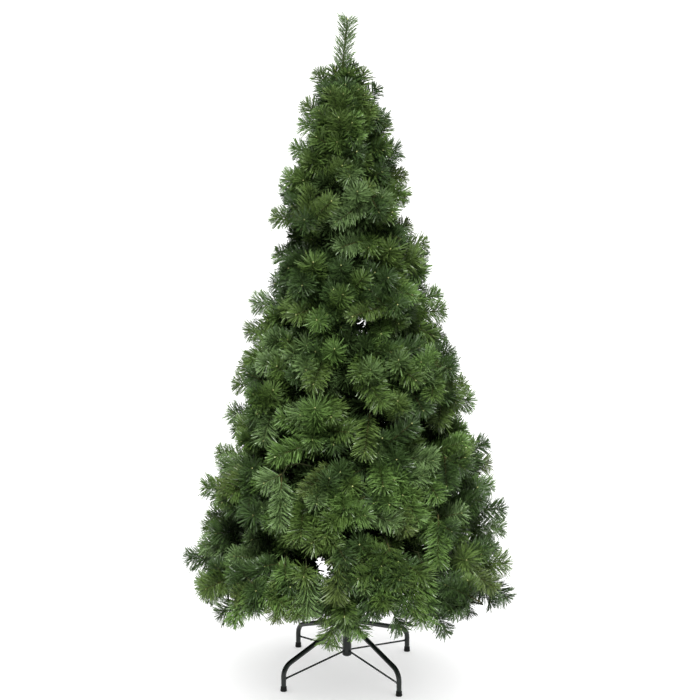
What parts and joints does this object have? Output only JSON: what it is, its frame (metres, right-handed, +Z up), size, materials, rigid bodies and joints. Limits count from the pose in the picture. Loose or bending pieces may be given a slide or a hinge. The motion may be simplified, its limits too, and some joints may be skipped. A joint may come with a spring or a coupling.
{
  "type": "artificial christmas tree with stand",
  "caption": "Slim artificial Christmas tree: a conical crown of green needle sprays on a steel pole, standing in a folding-style four-legged steel stand.",
  "frame": {"origin": "on the floor, under the middle of the crown, where the pole's axis meets it", "axes": "+Z up along the pole; the side the picture shows faces -Y; +X to that viewer's right"},
  "size_m": [0.9133, 0.9076, 1.8],
  "materials": {
    "steel": "glossy very dark green paint",
    "rubber": "matte black",
    "wire": "wire wrapped in short green and brown needles",
    "needles": "satin plastic film needles"
  },
  "bodies": {
    "root": {"pole": "steel", "stand_socket": "steel", "stand_leg_1": "steel", "stand_leg_2": "steel", "stand_leg_3": "steel", "stand_leg_4": "steel", "stand_brace_1": "steel", "stand_brace_2": "steel", "stand_brace_3": "steel", "stand_brace_4": "steel", "stand_foot_1": "rubber", "stand_foot_2": "rubber", "stand_foot_3": "rubber", "stand_foot_4": "rubber", "bough_1_1": "wire", "bough_1_2": "wire", "bough_1_3": "wire", "bough_1_4": "wire", "bough_1_5": "wire", "bough_1_6": "wire", "bough_2_1": "wire", "bough_2_2": "wire", "bough_2_3": "wire", "bough_2_4": "wire", "bough_2_5": "wire", "bough_3_1": "wire", "bough_3_2": "wire", "bough_3_3": "wire", "bough_3_4": "wire", "bough_4_1": "wire", "bough_4_2": "wire", "bough_4_3": "wire", "bough_4_4": "wire", "bough_5_1": "wire", "bough_5_2": "wire", "bough_5_3": "wire", "mass_1_1": "needles", "mass_1_2": "needles", "mass_1_3": "needles", "mass_1_4": "needles", "mass_1_5": "needles", "mass_1_6": "needles", "mass_2_1": "needles", "mass_2_2": "needles", "mass_2_3": "needles", "mass_2_4": "needles", "mass_2_5": "needles", "mass_3_1": "needles", "mass_3_2": "needles", "mass_3_3": "needles", "mass_3_4": "needles", "mass_4_1": "needles", "mass_4_2": "needles", "mass_4_3": "needles", "mass_4_4": "needles", "mass_5_1": "needles", "mass_5_2": "needles", "mass_5_3": "needles", "top_mass": "needles"}
  },
  "joints": []
}
